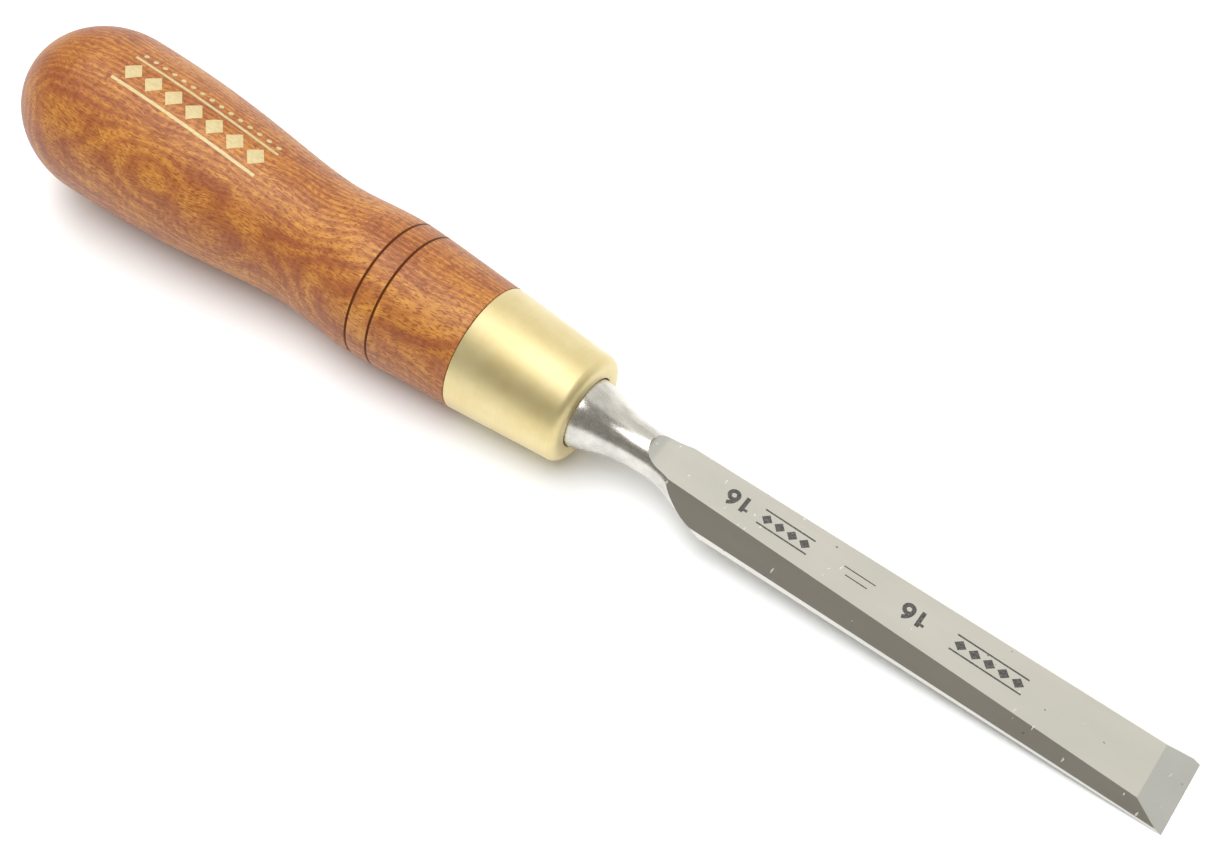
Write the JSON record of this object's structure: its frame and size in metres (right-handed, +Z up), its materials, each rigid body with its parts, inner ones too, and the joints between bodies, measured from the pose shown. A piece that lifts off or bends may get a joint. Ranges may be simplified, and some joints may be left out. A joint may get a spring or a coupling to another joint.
{
  "type": "bevel edge chisel",
  "caption": "Bench chisel with a flat steel blade, bevelled along both sides, a tapered brass ferrule and a turned wooden handle with two grooves and a domed end.",
  "frame": {"origin": "on the surface that the tool lies on, under the middle of its bounding box", "axes": "+X along the tool towards the cutting edge, +Y across the blade, +Z up from the surface. The tool lies on its cutting edge and on the thick end of its ferrule, with the flat back down, so the blade leans 3.7 degrees."},
  "size_m": [0.266, 0.0356, 0.0374],
  "materials": {
    "ground_steel": "ground flat faces with fine lengthwise lines, brushed round neck",
    "satin_brass": "satin, drawn and lightly polished",
    "stained_hardwood": "orange-brown stain under satin varnish"
  },
  "bodies": {
    "root": {"blade": "ground_steel", "ferrule": "satin_brass", "handle": "stained_hardwood"}
  },
  "joints": []
}
